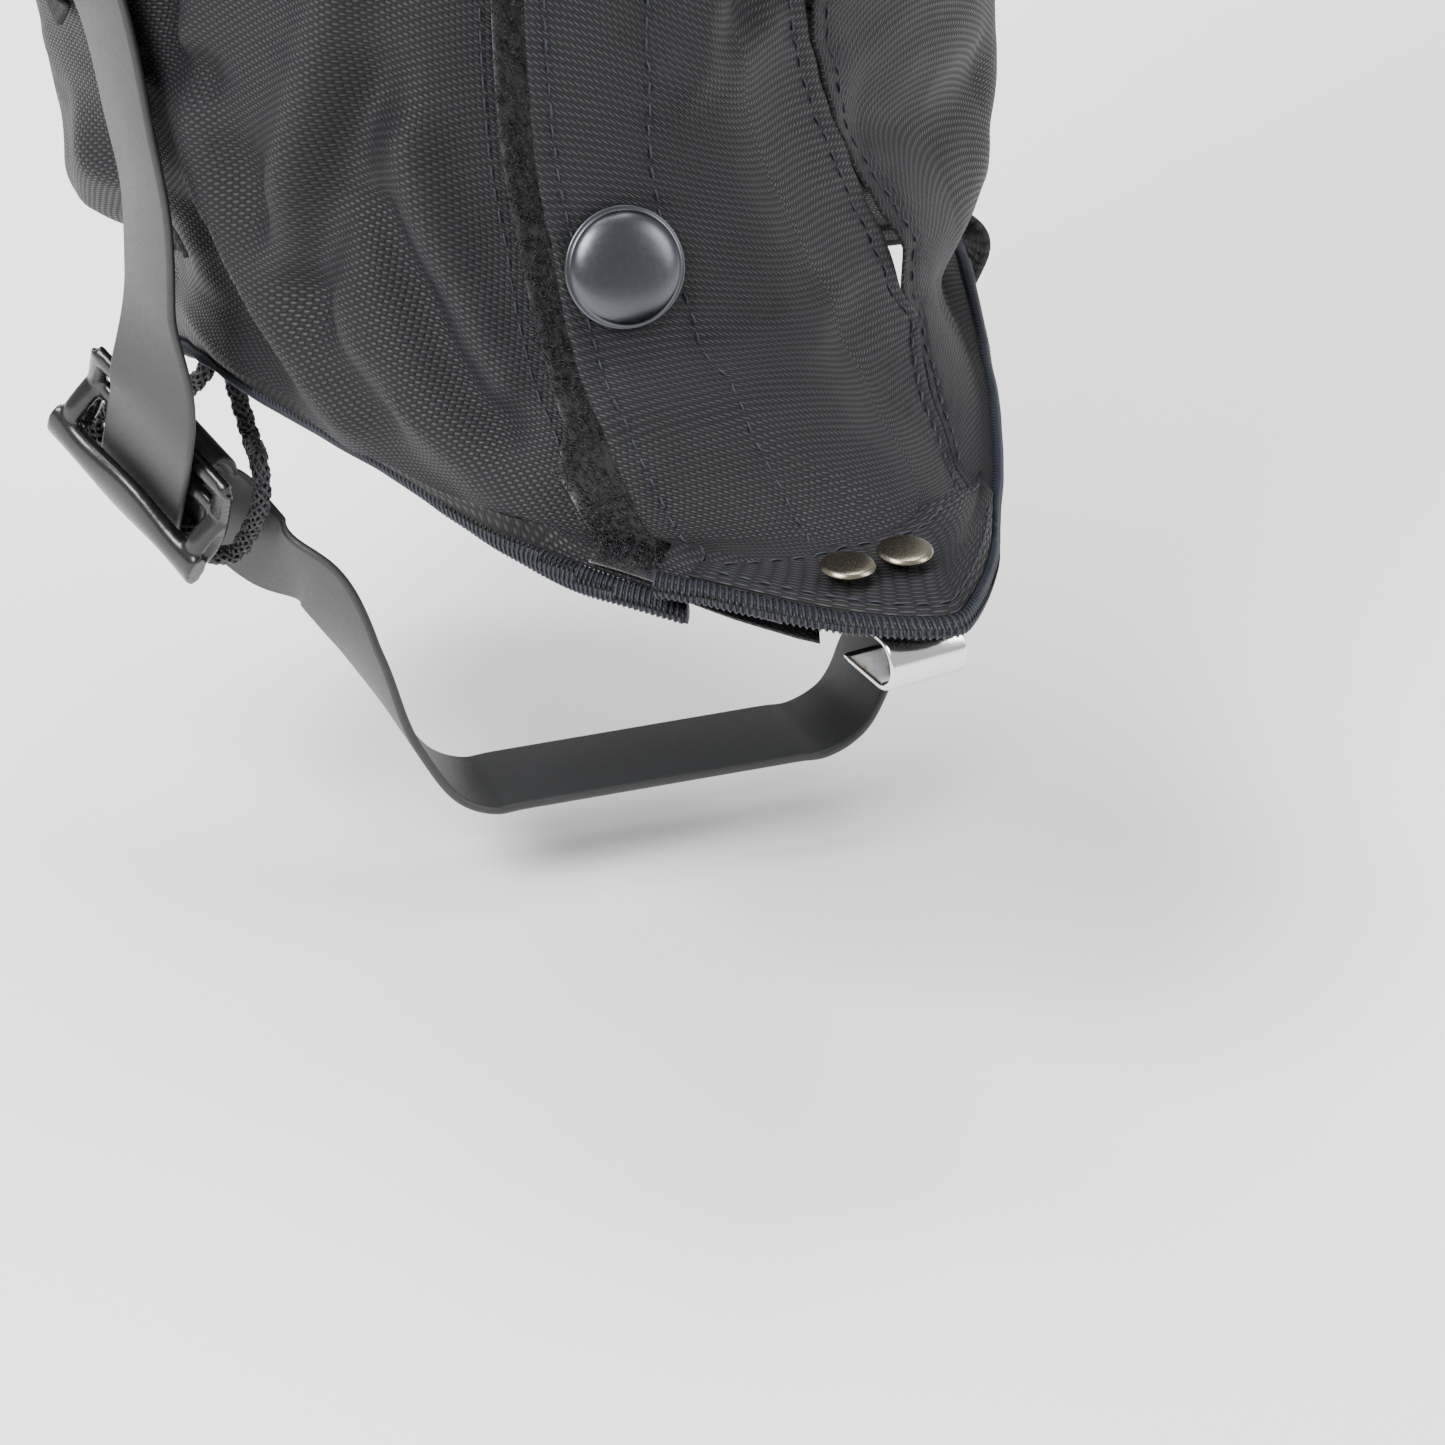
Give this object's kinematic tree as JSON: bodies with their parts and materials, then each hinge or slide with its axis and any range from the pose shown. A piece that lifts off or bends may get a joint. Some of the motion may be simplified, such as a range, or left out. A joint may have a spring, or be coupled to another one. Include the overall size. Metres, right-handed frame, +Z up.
{
  "type": "hiking gaiter",
  "caption": "Knee-high nylon hiking gaiter with a front closing flap, press snaps, lace hook, instep strap with slider, and an elastic top casing.",
  "frame": {"origin": "middle of the instep strap's top face, under the arch of the boot", "axes": "+Z up the leg, -Y towards the toe, +X towards the inner (medial) side of a right leg"},
  "size_m": [0.1588, 0.2339, 0.4177],
  "materials": {
    "nylon": "coarse plain weave, matte",
    "pile": "hook-and-loop tape",
    "binding": "rolled and overcast",
    "elastic": "knitted elastic",
    "webbing": "woven webbing",
    "cord": "braided",
    "strap": "matte coated webbing",
    "plastic": "glossy moulded",
    "snap_metal": "satin gunmetal",
    "rivet_metal": "antique",
    "nickel": "polished nickel"
  },
  "bodies": {
    "sleeve": {"lateral_panel": "nylon", "calf_panel": "nylon", "top_casing_rear": "nylon", "loop_tape": "pile", "hem_binding_rear": "binding", "top_elastic": "elastic", "ankle_elastic": "elastic", "lower_snap_stud": "snap_metal", "lower_snap_back_plate": "snap_metal", "upper_snap_stud": "snap_metal", "upper_snap_back_plate": "snap_metal", "tab_rivet_cap": "rivet_metal", "tab_rivet_burr": "rivet_metal", "instep_strap": "strap", "strap_keeper": "webbing", "medial_tab": "webbing", "cord_tab": "webbing", "hem_cord": "cord"},
    "front": {"front_flap_panel": "nylon", "medial_panel": "nylon", "hook_tape": "pile", "toe_patch": "nylon", "lace_hook": "nickel", "patch_rivet_cap_1": "rivet_metal", "patch_rivet_cap_2": "rivet_metal", "patch_rivet_burr_1": "rivet_metal", "patch_rivet_burr_2": "rivet_metal", "lower_snap_cap": "snap_metal", "lower_snap_socket": "snap_metal", "upper_snap_cap": "snap_metal", "upper_snap_socket": "snap_metal", "hem_binding_front": "binding", "top_casing_front": "nylon"},
    "slider": {"strap_slider": "plastic"}
  },
  "joints": [
    {"name": "front_panel_open", "type": "hinge", "parent": "sleeve", "child": "front", "pos_m": [0.073, 0.022, 0.2], "axis": [0, 0, 1], "range_deg": [0, 60]},
    {"name": "slider_slide", "type": "slide", "parent": "sleeve", "child": "slider", "axis": [-0.06, -0.5878, 0.8068], "range_m": [0, 0.004]}
  ]
}
